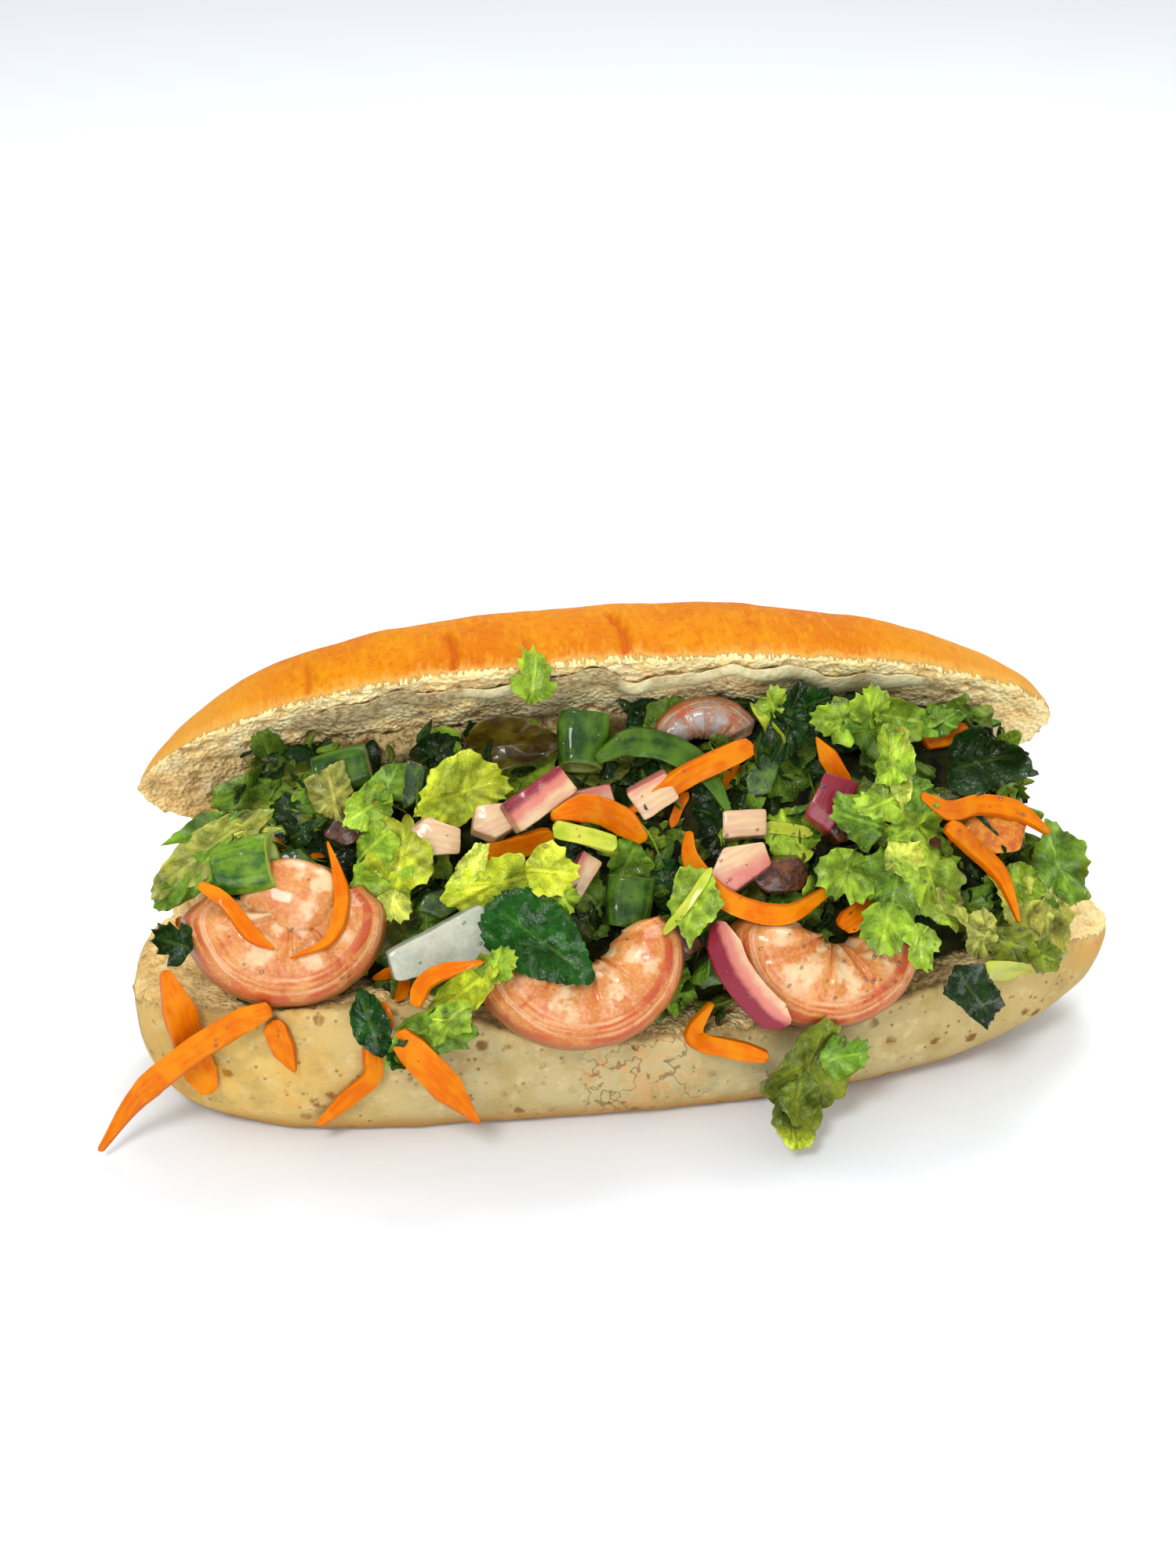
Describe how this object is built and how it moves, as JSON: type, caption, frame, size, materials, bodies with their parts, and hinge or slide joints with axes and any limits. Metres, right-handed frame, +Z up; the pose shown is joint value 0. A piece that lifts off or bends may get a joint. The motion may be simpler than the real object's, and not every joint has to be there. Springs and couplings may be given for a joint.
{
  "type": "banh mi sandwich",
  "caption": "Long soft roll opened along one side and folded back, filled with curled shrimps, carrot strips, herbs, lettuce, onion and mayonnaise.",
  "frame": {"origin": "centre of the bounding box at the height of the flat the lower half lies on", "axes": "+X along the roll, +Y away from the open side, +Z up"},
  "size_m": [0.2378, 0.1142, 0.1016],
  "materials": {
    "bread": "dry matt crust with pale porous crumb",
    "mayonnaise": "soft sheen",
    "salad": "wet leaves",
    "shrimp": "wet sheen",
    "carrot": "wet sheen",
    "herb": "wet leaves",
    "onion": "wet sheen",
    "scallion": "wet sheen",
    "daikon": "wet sheen",
    "pickle": "wet and dark"
  },
  "bodies": {
    "root": {"bread": "bread", "carrot_big": "carrot", "carrot_chip": "carrot", "carrot_curl": "carrot", "carrot_hook": "carrot", "carrot_long": "carrot", "carrot_loop": "carrot", "carrot_loop_end": "carrot", "carrot_low": "carrot", "carrot_mid": "carrot", "carrot_right": "carrot", "carrot_ring": "carrot", "carrot_short": "carrot", "carrot_small_curl": "carrot", "carrot_taper": "carrot", "carrot_tick": "carrot", "carrot_top": "carrot", "carrot_wide": "carrot", "cilantro_right": "herb", "cilantro_up": "herb", "daikon_stick": "daikon", "green_stem": "herb", "green_strip": "herb", "leaf_bright": "herb", "leaf_cup_right": "herb", "leaf_dark_left": "herb", "leaf_dark_low": "herb", "leaf_dark_top": "herb", "leaf_edge_right": "herb", "leaf_hanging": "herb", "leaf_heart": "herb", "leaf_left_back": "herb", "leaf_left_low": "herb", "leaf_left_mid": "herb", "leaf_middle": "herb", "leaf_olive": "herb", "leaf_small_left": "herb", "leaf_strip_left": "herb", "leaf_top_right": "herb", "leaf_upright": "herb", "lettuce_light": "herb", "lettuce_right": "herb", "mayonnaise": "mayonnaise", "mint_leaf": "herb", "onion_big": "onion", "onion_cream": "onion", "onion_pale": "onion", "onion_red": "onion", "onion_right": "onion", "onion_slice": "onion", "pickle_slice": "pickle", "salad": "salad", "scallion_back": "scallion", "scallion_far_left": "scallion", "scallion_left": "scallion", "scallion_middle": "scallion", "shrimp_back": "shrimp", "shrimp_left": "shrimp", "shrimp_middle": "shrimp", "shrimp_right": "shrimp"}
  },
  "joints": []
}
